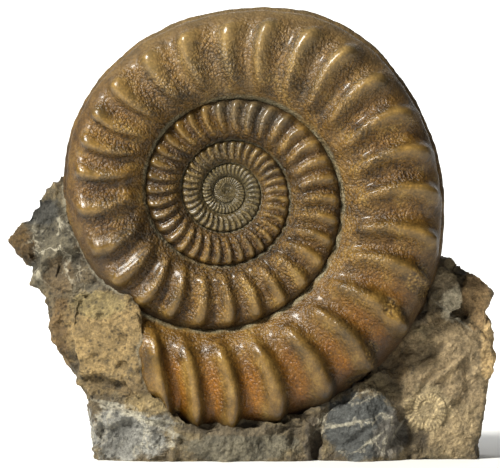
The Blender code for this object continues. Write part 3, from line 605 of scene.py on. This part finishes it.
def stone_tree():
    """A rough stone broken into facets, with its ledges, a flat foot and the small ammonite in its slab."""
    tree, add, given = open_tree("broken limestone", (
        ("Shell", "Object", None), ("Small shell", "Object", None), ("Small shell scale", "Float", 0.108),
        ("Facet size", "Float", 30 * MM), ("Chip size", "Float", 9 * MM), ("Seed", "Float", 5.0),
        ("Material", "Material", None)))
    spot = add("GeometryNodeInputPosition")
    warp = add(SEEDED_NOISE, {"Vector": spot, "W": given["Seed"], "Scale": 40.0, "Detail": 2.0})
    either_way = add(STEP_FROM, (warp.outputs["Color"], (0.5, 0.5, 0.5)))
    shift = add(SCALED, {"Vector": either_way, "Scale": EDGE_WANDER})
    warped = add(VECTOR, (spot, shift), operation="ADD")
    total = None
    # Each cell is a flat facet, tilted its own way, that fades at its edges.
    for size, tilt in (("Facet size", 0.30), ("Chip size", 0.24)):
        scale = add(OVER, (1.0, given[size]))
        cells = add(CELLS, {"Vector": warped, "Scale": scale})
        edges = add(CELLS, {"Vector": warped, "Scale": scale}, feature="DISTANCE_TO_EDGE")
        away = add(STEP_FROM, (warped, cells.outputs["Position"]))
        tip = add(STEP_FROM, (cells.outputs["Color"], (0.5, 0.5, 0.5)))
        slope = add(VECTOR, (away, tip), operation="DOT_PRODUCT")
        lifted = add(TIMES, (slope, 2.0 * tilt))
        fade = add(SOFT_RANGE, (edges, 0.0, 0.16, 0.15, 1.0))
        facet = add(TIMES, (lifted, fade))
        total = facet if total is None else add(PLUS, (total, facet))
    # Broken edges run across it as sharp creases.
    crease = add(SEEDED_NOISE, {"Vector": warped, "W": given["Seed"], "Scale": 34.0, "Detail": 1.0})
    middle = add(MINUS, (crease, 0.5))
    off_crease = add(ABSOLUTE, (middle,))
    ridge = add(RANGE, (off_crease, 0.0, 0.16, CREASE_HEIGHT, -CREASE_HEIGHT))
    total = add(PLUS, (total, ridge))
    for where in EVEN_PLACES:
        away = round_place(add, spot, *where)
        even = add(SOFT_RANGE, (away, 0.7, 1.1, 0.35, 1.0))
        total = add(TIMES, (total, even))
    for scale, height in STONE_ROUGHNESS:
        noise = add(SEEDED_NOISE, {
            "Vector": spot, "W": given["Seed"], "Scale": scale, "Detail": 3.0, "Roughness": 0.6})
        rise = add(RANGE, (noise, 0.2, 0.8, -height, height))
        total = add(PLUS, (total, rise))
    depth_at = add(PARTS, (spot,)).outputs["Y"]
    in_front = add(BEFORE, (depth_at, 0.0))
    for *where, rise_mm in STONE_FORMS:
        away = round_place(add, spot, *where)
        swelling = add(SOFT_RANGE, (away, 0.3, 1.1, rise_mm * MM, 0.0))
        form = add(TIMES, (swelling, in_front))
        total = add(PLUS, (total, form))
    normal = add("GeometryNodeInputNormal")
    push = add(SCALED, {"Vector": normal, "Scale": total})
    knowing = add(STORE, {"Geometry": given["Geometry"], "Name": "rise", "Value": total})
    broken = add(MOVE, {"Geometry": knowing, "Offset": push})
    # It stands on a flat foot.
    moved = add("GeometryNodeInputPosition")
    parts = add(PARTS, (moved,))
    floor = add(LARGER, (parts.outputs["Z"], 0.0))
    flat = add(SPOT_AT, (parts.outputs["X"], parts.outputs["Y"], floor))
    footed = add(MOVE, {"Geometry": broken, "Position": flat})
    # A small ammonite lies in the face of the slab, sunk into it and following its surface.
    small = add("GeometryNodeObjectInfo", {"Object": given["Small shell"]})
    own = add("GeometryNodeInputPosition")
    centred = add(STEP_FROM, (own, tuple(COIL_CENTRE)))
    turned_round = add("ShaderNodeVectorRotate", {"Vector": centred, "Angle": radians(SMALL_SHELL_TURN)},
                       rotation_type="Y_AXIS")
    shrunk = add(SCALED, {"Vector": turned_round, "Scale": given["Small shell scale"]})
    placed = add(VECTOR, (shrunk, tuple(v * MM for v in SMALL_SHELL_PLACE)), operation="ADD")
    at = add(PARTS, (placed,))
    in_air = add(SPOT_AT, (at.outputs["X"], -0.2, at.outputs["Z"]))
    ray = add("GeometryNodeRaycast", {"Target Geometry": footed, "Source Position": in_air,
                                      "Ray Direction": (0.0, 1.0, 0.0), "Ray Length": 0.4})
    on_face = add(PARTS, (ray.outputs["Hit Position"],))
    out_of_it = add(TIMES_PLUS, (at.outputs["Y"], SMALL_SHELL_DEPTH, on_face.outputs["Y"]))
    leaning = add(VECTOR, (shrunk, SMALL_SHELL_LEAN), operation="DOT_PRODUCT")
    for step in (leaning, SMALL_SHELL_SINK):
        out_of_it = add(PLUS, (out_of_it, step))
    laid = add(SPOT_AT, (at.outputs["X"], out_of_it, at.outputs["Z"]))
    small_laid = add(MOVE, {"Geometry": small.outputs["Geometry"], "Position": laid})
    both = add("GeometryNodeJoinGeometry", (footed,))
    tree.links.new(small_laid.outputs[0], both.inputs[0])
    # It keeps how far it is from the shell.
    shell = add("GeometryNodeObjectInfo", {"Object": given["Shell"]})
    near = add("GeometryNodeProximity", (shell.outputs["Geometry"],))
    measured = add(STORE, {"Geometry": both, "Name": "from_shell", "Value": near.outputs["Distance"]})
    crisp = add("GeometryNodeSetShadeSmooth", {"Geometry": measured, "Shade Smooth": False})
    close_tree(add, crisp, given["Material"])
    return tree


# --- what each finish is made of ---
def blank_material(name, noises, attributes=()):
    """A material without nodes, what adds them, its object coordinates, its noises and its attributes."""
    made = bpy.data.materials.new(name)
    made.use_nodes = True
    made.node_tree.nodes.clear()
    add = partial(add_node, made.node_tree)
    place = add("ShaderNodeTexCoord").outputs["Object"]
    noise = {key: add(NOISE, {"Vector": place, "Scale": scale, "Detail": detail, "Roughness": roughness})
             for key, (scale, detail, roughness) in noises.items()}
    read = [add("ShaderNodeAttribute", attribute_name=key).outputs["Fac"] for key in attributes]
    return made, add, place, noise, read


def varnished_calcite():
    """Brown calcite that grew in coarse grains, smoothed by the preparer and varnished: the grains glitter,
    the crests are paler, partly worn and partly painted highlight, the hollows keep a deep orange brown and
    the seams their dirt, painted shade darkens the hollows, steep sides, keel and lower disc and a painted
    shadow the left of the umbilicus, and the varnish catches small hard lights."""
    made, add, place, noise, (rib, steep_side, across, along, reach, broken) = blank_material(
        "varnished brown calcite", CALCITE_NOISES, ("rib", "steep", "across", "along", "reach", "broken"))
    spot = add(PARTS, (place,)).outputs

    # Grain shows on the left and over the top, and on the inner whorls; the lower part is worn smoother.
    past = add(SOFT_RANGE, (along, 78.0, 125.0, 0.40, 1.0))
    inner_part = add(SOFT_RANGE, (across, 0.10, 0.34, 0.15, 1.0))
    patchy = add(RANGE, (noise["wander"], 0.36, 0.54, 0.35, 1.0))
    grainy = add(TIMES, (past, inner_part))
    grainy = add(TIMES, (grainy, patchy))
    # The preparer polished the crests near the keel, and the whole of each crest near the mouth.
    near_keel = add(RANGE, (across, 0.34, 0.56, 1.0, 0.0))
    by_mouth = add(RANGE, (along, 52.0, 80.0, 1.0, 0.0))
    within_reach = add(LARGER, (near_keel, by_mouth))
    on_crest = add(RANGE, (rib, 0.35, 0.80, 0.0, 1.0))
    polished = add(TIMES, (on_crest, within_reach))
    kept_rough = add(TIMES_PLUS, (polished, -0.75, 1.0))
    grainy = add(TIMES, (grainy, kept_rough))
    grainy = add(LARGER, (grainy, broken))

    tone = add("ShaderNodeValToRGB", (noise["broad"],))
    fill_ramp(tone, ((0.30, "#291b07"), (0.41, "#4e3812"), (0.52, "#715322"), (0.64, "#8b6d35"),
                     (0.76, "#a08950")))
    # A rib's crest is paler, partly worn and partly painted highlight.
    wear_and_painted_light = add(RANGE, (rib, 0.45, 1.0, 0.0, 0.33))
    further = add(RANGE, (along, 60.0, 110.0, 0.25, 1.0))
    on_flank = add(RANGE, (across, 0.26, 0.50, further, 1.0))
    wear_and_painted_light = add(TIMES, (wear_and_painted_light, on_flank))
    # The top is paler.
    paler_top = add(RANGE, (spot["Z"], 235 * MM, 310 * MM, 0.0, 0.42))
    # Low down, the hollows between the ribs are orange, but not the wall beside the next whorl in.
    low = add(SOFT_RANGE, (along, 60.0, 110.0, 1.0, 0.18))
    hollow = add(SOFT_RANGE, (rib, 0.05, 0.55, 1.0, 0.0))
    off_wall = add(RANGE, (across, 0.52, 0.78, 1.0, 0.12))
    off_keel = add(RANGE, (across, 0.02, 0.16, 0.25, 1.0))
    off_end = add(RANGE, (along, 3.0, 9.0, 0.1, 1.0))
    orange = add(RANGE, (noise["rust"], 0.40, 0.60, 0.62, 1.0))
    for share in (low, hollow, off_wall, off_keel, off_end):
        orange = add(TIMES, (orange, share))
    # Towards the middle the calcite turns grey.
    grey = add(SOFT_RANGE, (reach, 22 * MM, 52 * MM, 0.75, 0.0))
    # The top of the second whorl is grey too.
    grey_top = add(RANGE, (round_place(add, place, 14, 243, 66, 26, -14), 0.6, 1.1, 0.55, 0.0))
    for share, colour in ((wear_and_painted_light, "#9c804b"), (paler_top, "#a08a60"), (orange, "#8e5909"), (grey, "#62593c"),
                          (grey_top, "#5a5344")):
        tone = add(BLEND, (share, tone, linear(colour)))
    # Broken places show fresh golden crystals with dark gaps between them.
    fresh = add(RANGE, (broken, 0.1, 0.6, 0.0, 0.9))
    lumpy = add(CELLS, {"Vector": place, "Scale": 430.0})
    facets = add("ShaderNodeValToRGB", (lumpy,))
    fill_ramp(facets, ((0.10, "#c39f58"), (0.45, "#96743a"), (0.80, "#5c431a")))
    tone = add(BLEND, (fresh, tone, facets))

    # Pale mud dried in the seam.
    mud = add(RANGE, (across, 0.955, 0.985, 0.0, 0.8))
    mud_here = add(RANGE, (noise["rust"], 0.40, 0.55, 0.25, 1.0))
    mud = add(TIMES, (mud, mud_here))
    tone = add(BLEND, (mud, tone, linear("#8c856b")))

    # Painted shade darkens the hollows between the ribs, more on the inner whorls, and the band beside the
    # keel, most of it low down; the gaps between the grains are darker.
    up_the_rib = add(RANGE, (rib, 0.02, 0.60, 0.0, 1.0))
    deeper = add(RANGE, (along, 300.0, 420.0, 0.88, 0.54))
    painted_hollow_shade = add(MIX, (up_the_rib, deeper, 1.0))
    keel_painted_shade = add(RANGE, (spot["Z"], 60 * MM, 170 * MM, 0.28, 0.64))
    keel = add(SOFT_RANGE, (across, 0.11, 0.29, keel_painted_shade, 1.0))
    bent = add(MIX, (0.0028, place, noise["bend"].outputs["Color"]), data_type="VECTOR")
    crystals = add(CELLS, {"Vector": bent, "Scale": 520.0, "Randomness": 1.0})
    shade = add(RANGE, (crystals, 0.18, 0.75, 0.40, -0.50))
    amount = add(RANGE, (grainy, 0.0, 1.0, 0.25, 1.0))
    shade = add(TIMES_PLUS, (shade, amount, 1.0))
    # Painted shade darkens the steep side of each rib, most near the mouth.
    near_mouth = add(RANGE, (along, 60.0, 130.0, 0.52, 0.36))
    steep_painted_shade = add(TIMES, (steep_side, near_mouth))
    steep = add(MINUS, (1.0, steep_painted_shade))
    # A painted shadow of the outer whorl's wall darkens the left of the umbilicus.
    to_the_left = add(RANGE, (spot["X"], -56 * MM, -20 * MM, 0.50, 1.0))
    inside = add(RANGE, (along, 330.0, 380.0, 0.0, 1.0))
    painted_umbilicus_shadow = add(MIX, (inside, 1.0, to_the_left))
    # Painted shade darkens the lower left and the lower right of the disc.
    lower_left_shade = add(RANGE, (round_place(add, place, -76, 148, 76, 70, 45), 0.5, 1.1, 0.72, 1.0))
    lower_right_shade = add(RANGE, (round_place(add, place, 76, 72, 110, 64, 35), 0.5, 1.1, 0.80, 1.0))
    for share in (painted_hollow_shade, keel, steep, painted_umbilicus_shadow, lower_left_shade, lower_right_shade):
        shade = add(TIMES, (shade, share))
    # A finer grain speckles all of it.
    speckle = add(RANGE, (noise["fine"], 0.32, 0.68, 0.78, 1.22))
    shade = add(TIMES, (shade, speckle))
    tone = add(SCALED, {"Vector": tone, "Scale": shade})

    # Crystals stand out as small hard lumps.
    between = add(TIMES, (noise["grains"], 1.1))
    crystal_height = add(TIMES_PLUS, (crystals, -1.0, between))
    rough = add(RANGE, (grainy, 0.0, 1.0, 0.26, 0.95))
    less = add(RANGE, (polished, 0.0, 1.0, 1.0, 0.30))
    grain_share = add(TIMES, (rough, less))
    smoothed = add(RANGE, (rib, 0.35, 0.85, 0.48, 0.15))
    crisp = add(RANGE, (rib, 0.35, 0.85, 0.42, 0.11))
    relief = add(BUMP, {"Strength": smoothed, "Distance": 2.6 * MM, "Height": noise["lumps"]})
    for share, depth, height in ((grain_share, 1.4, crystal_height), (crisp, 0.9, noise["fine"])):
        relief = add(BUMP, {"Strength": share, "Distance": depth * MM, "Height": height, "Normal": relief})
    # The crests are a little glossier, and the keel is dull.
    by_grain = add(RANGE, (grainy, 0.0, 1.0, 0.34, 0.48))
    by_rib = add(TIMES_PLUS, (rib, -0.07, by_grain))
    dull = add(RANGE, (across, 0.08, 0.20, 0.40, 0.0))
    roughness = add(PLUS, (by_rib, dull))
    surface = add("ShaderNodeBsdfPrincipled", {
        "Base Color": tone, "Roughness": roughness, "Normal": relief, "Coat Weight": 0.13,
        "Coat Roughness": 0.15, "Specular IOR Level": 0.42})
    add("ShaderNodeOutputMaterial", (surface,))
    return made


def limestone():
    """Fine blue-grey limestone as it broke from the bed: matt and earthy, its old joints stained brown and
    tan by iron, with thin pale calcite veins, painted shade in its crevices, beside the shell and where the
    shell's shadow falls, and painted light on one facet."""
    made, add, place, noise, (rise, from_shell, reach, rib) = blank_material(
        "broken limestone", LIMESTONE_NOISES, ("rise", "from_shell", "reach", "rib"))
    spot = add(PARTS, (place,)).outputs
    # Stains with ragged edges lie over a brown ground, some of them painted shade and painted light, and all
    # of it is dappled.
    tone = add("ShaderNodeValToRGB", (noise["broad"],))
    fill_ramp(tone, ((0.30, "#453a28"), (0.47, "#5f523b"), (0.60, "#736548"), (0.75, "#8a7c5e")))
    stray = add(RANGE, (noise["wander"], 0.2, 0.8, -0.55, 0.55), clamp=False)
    to_back = add(RANGE, (spot["Y"], 0.0, 12 * MM, 0.0, 2.0))
    for stains_and_light, further_out in ((STONE_STAINS_AND_SHADE, (stray,)), (FACE_STAINS_AND_LIGHT, (stray, to_back))):
        for *where, colour, strength in stains_and_light:
            away = round_place(add, place, *where)
            for more in further_out:
                away = add(PLUS, (away, more))
            within = add(SOFT_RANGE, (away, 0.75, 1.1, strength, 0.0))
            tone = add(BLEND, (within, tone, linear(colour)))
    dapple = add(RANGE, (noise["mottle"], 0.34, 0.66, 0.52, 1.52))
    tone = add(SCALED, {"Vector": tone, "Scale": dapple})

    # Calcite veins: thin wandering lines, most of them in the grey stone.
    lines = add(NOISE, {"Vector": place, "Scale": 36.0, "Detail": 4.0, "Roughness": 0.55, "Distortion": 0.4})
    middle = add(MINUS, (lines, 0.5))
    off_line = add(ABSOLUTE, (middle,))
    vein = add(RANGE, (off_line, 0.004, 0.030, 0.60, 0.0))
    parted = add(RANGE, (noise["mottle"], 0.42, 0.52, 0.15, 1.0))
    veined = None
    for where in VEINED_PLACES:
        away = round_place(add, place, *where)
        here = add(RANGE, (away, 0.8, 1.05, 1.0, 0.0))
        veined = here if veined is None else add(LARGER, (veined, here))
    vein = add(TIMES, (vein, parted))
    vein = add(TIMES, (vein, veined))
    tone = add(BLEND, (vein, tone, linear("#b9b19b")))
    for where in PALE_LINES:
        away = round_place(add, place, *where)
        ragged = add(PLUS, (away, stray))
        pale = add(RANGE, (ragged, 0.5, 1.2, 0.62, 0.0))
        tone = add(BLEND, (pale, tone, linear("#b3ac97")))
    # Small dark pits, where grains fell out.
    pits = add(CELLS, {"Vector": place, "Scale": 210.0})
    depth_there = add(RANGE, (spot["X"], -60 * MM, -40 * MM, 0.38, 0.85))
    pit = add(SOFT_RANGE, (pits, 0.12, 0.33, depth_there, 1.0))
    speckled = add(RANGE, (noise["speckle"], 0.35, 0.65, 0.72, 1.30))
    pitted = add(TIMES, (speckled, pit))
    # Painted shade darkens low places and the joint with the shell, and edges are rubbed pale.
    painted_shade_low = add(RANGE, (rise, -3.5 * MM, 0.5 * MM, 0.60, 1.0))
    rubbed = add(RANGE, (rise, 1.0 * MM, 4.0 * MM, 1.0, 1.25))
    painted_shade_by_shell = add(RANGE, (from_shell, 0.5 * MM, 7.0 * MM, 0.75, 1.0))
    wear_and_painted_light = add(TIMES, (painted_shade_low, rubbed))
    wear_and_painted_light = add(TIMES, (wear_and_painted_light, painted_shade_by_shell))
    # Painted shade darkens the gaps between the small ammonite's ribs, and painted highlight lightens their
    # crests.
    on_small = add(RANGE, (reach, 0.5 * MM, 1.0 * MM, 0.0, 1.0))
    ribs = add(RANGE, (rib, 0.0, 0.6, 0.70, 1.15))
    small_ribs_shade_and_highlight = add(MIX, (on_small, 1.0, ribs))
    for share in (pitted, wear_and_painted_light, small_ribs_shade_and_highlight):
        tone = add(SCALED, {"Vector": tone, "Scale": share})
    # A thin skin of pale calcite lines the joint with the shell on the left.
    skin = add(RANGE, (from_shell, 0.8 * MM, 2.2 * MM, 0.8, 0.0))
    thin = add(RANGE, (noise["mottle"], 0.40, 0.55, 0.25, 1.0))
    left = add(RANGE, (spot["X"], -62 * MM, -54 * MM, 1.0, 0.0))
    skin = add(TIMES, (skin, thin))
    skin = add(TIMES, (skin, left))
    tone = add(BLEND, (skin, tone, linear("#8d8672")))

    chipped = add(BUMP, {"Strength": 0.9, "Distance": 4.0 * MM, "Height": noise["chips"]})
    relief = add(BUMP, {"Strength": 0.9, "Distance": 2.0 * MM, "Height": noise["grains"], "Normal": chipped})
    surface = add("ShaderNodeBsdfPrincipled", {"Base Color": tone, "Roughness": 0.74, "Normal": relief})
    add("ShaderNodeOutputMaterial", (surface,))
    return made


def studio_paper():
    """Matt white paper, hardly uneven, so that it gives soft light back."""
    made, add, _, noise, _ = blank_material("white studio paper", {"mottle": (3.0, 2.0, 0.5)})
    tone = add("ShaderNodeValToRGB", (noise["mottle"],))
    fill_ramp(tone, ((0.3, "#ededeb"), (0.7, "#f0f0ed")))
    surface = add("ShaderNodeBsdfPrincipled", {"Base Color": tone, "Roughness": 0.9})
    add("ShaderNodeOutputMaterial", (surface,))
    return made


# --- setting it up ---
def make_floor():
    """A sheet of paper that lies on the table and curves up behind."""
    bm = bmesh.new()
    profile = [(-5.0, 0.0), (4.2, 0.0)]
    profile += [(4.2 + sin(radians(a)), 1.0 - cos(radians(a))) for a in range(9, 90, 9)]
    profile += [(5.2, 1.0), (5.2, 5.0)]
    lines = [[bm.verts.new((x, y, z)) for y, z in profile] for x in (-5.0, 5.0)]
    for i in range(len(profile) - 1):
        bm.faces.new((lines[0][i], lines[1][i], lines[1][i + 1], lines[0][i + 1]))
    floor = object_from(bm, "studio_paper_sheet")
    for polygon in floor.data.polygons:
        polygon.use_smooth = True
    floor.data.materials.append(studio_paper())
    return floor


def stand(name, data, place, target):
    """Puts a lamp or a camera at a place, looking at its target."""
    made = bpy.data.objects.new(name, data)
    bpy.context.scene.collection.objects.link(made)
    made.location = place
    made.rotation_euler = (Vector(target) - made.location).to_track_quat("-Z", "Y").to_euler()
    return made


def set_studio():
    """The lamps, the pale room and the camera."""
    scene = bpy.context.scene
    for name, (place, target, size, power, colour) in LIGHTS.items():
        lamp = bpy.data.lights.new(name, "AREA")
        lamp.size = size
        lamp.energy = power
        lamp.color = linear(colour)[:3]
        stand(name, lamp, place, target)
    scene.world = bpy.data.worlds.new("pale room")
    scene.world.use_nodes = True
    room = scene.world.node_tree.nodes["Background"].inputs
    room["Color"].default_value = linear("#f2f4f6")
    room["Strength"].default_value = ROOM_LIGHT

    camera = bpy.data.cameras.new("camera")
    camera.lens = CAMERA_LENS
    camera.sensor_width = 36.0
    camera.clip_end = 20.0
    tilt = radians(CAMERA_TILT)
    place = CAMERA_TARGET + CAMERA_AWAY * Vector((0.0, -cos(tilt), sin(tilt)))
    scene.camera = stand("camera", camera, place, CAMERA_TARGET)
    scene.view_settings.view_transform = "Standard"


set_studio()
make_floor()

shell = make_shell(varnished_calcite())
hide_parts("ammonite")
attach(shell, "root")

stone = make_stone(shell, limestone())
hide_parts("matrix_block")
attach(stone, "root")
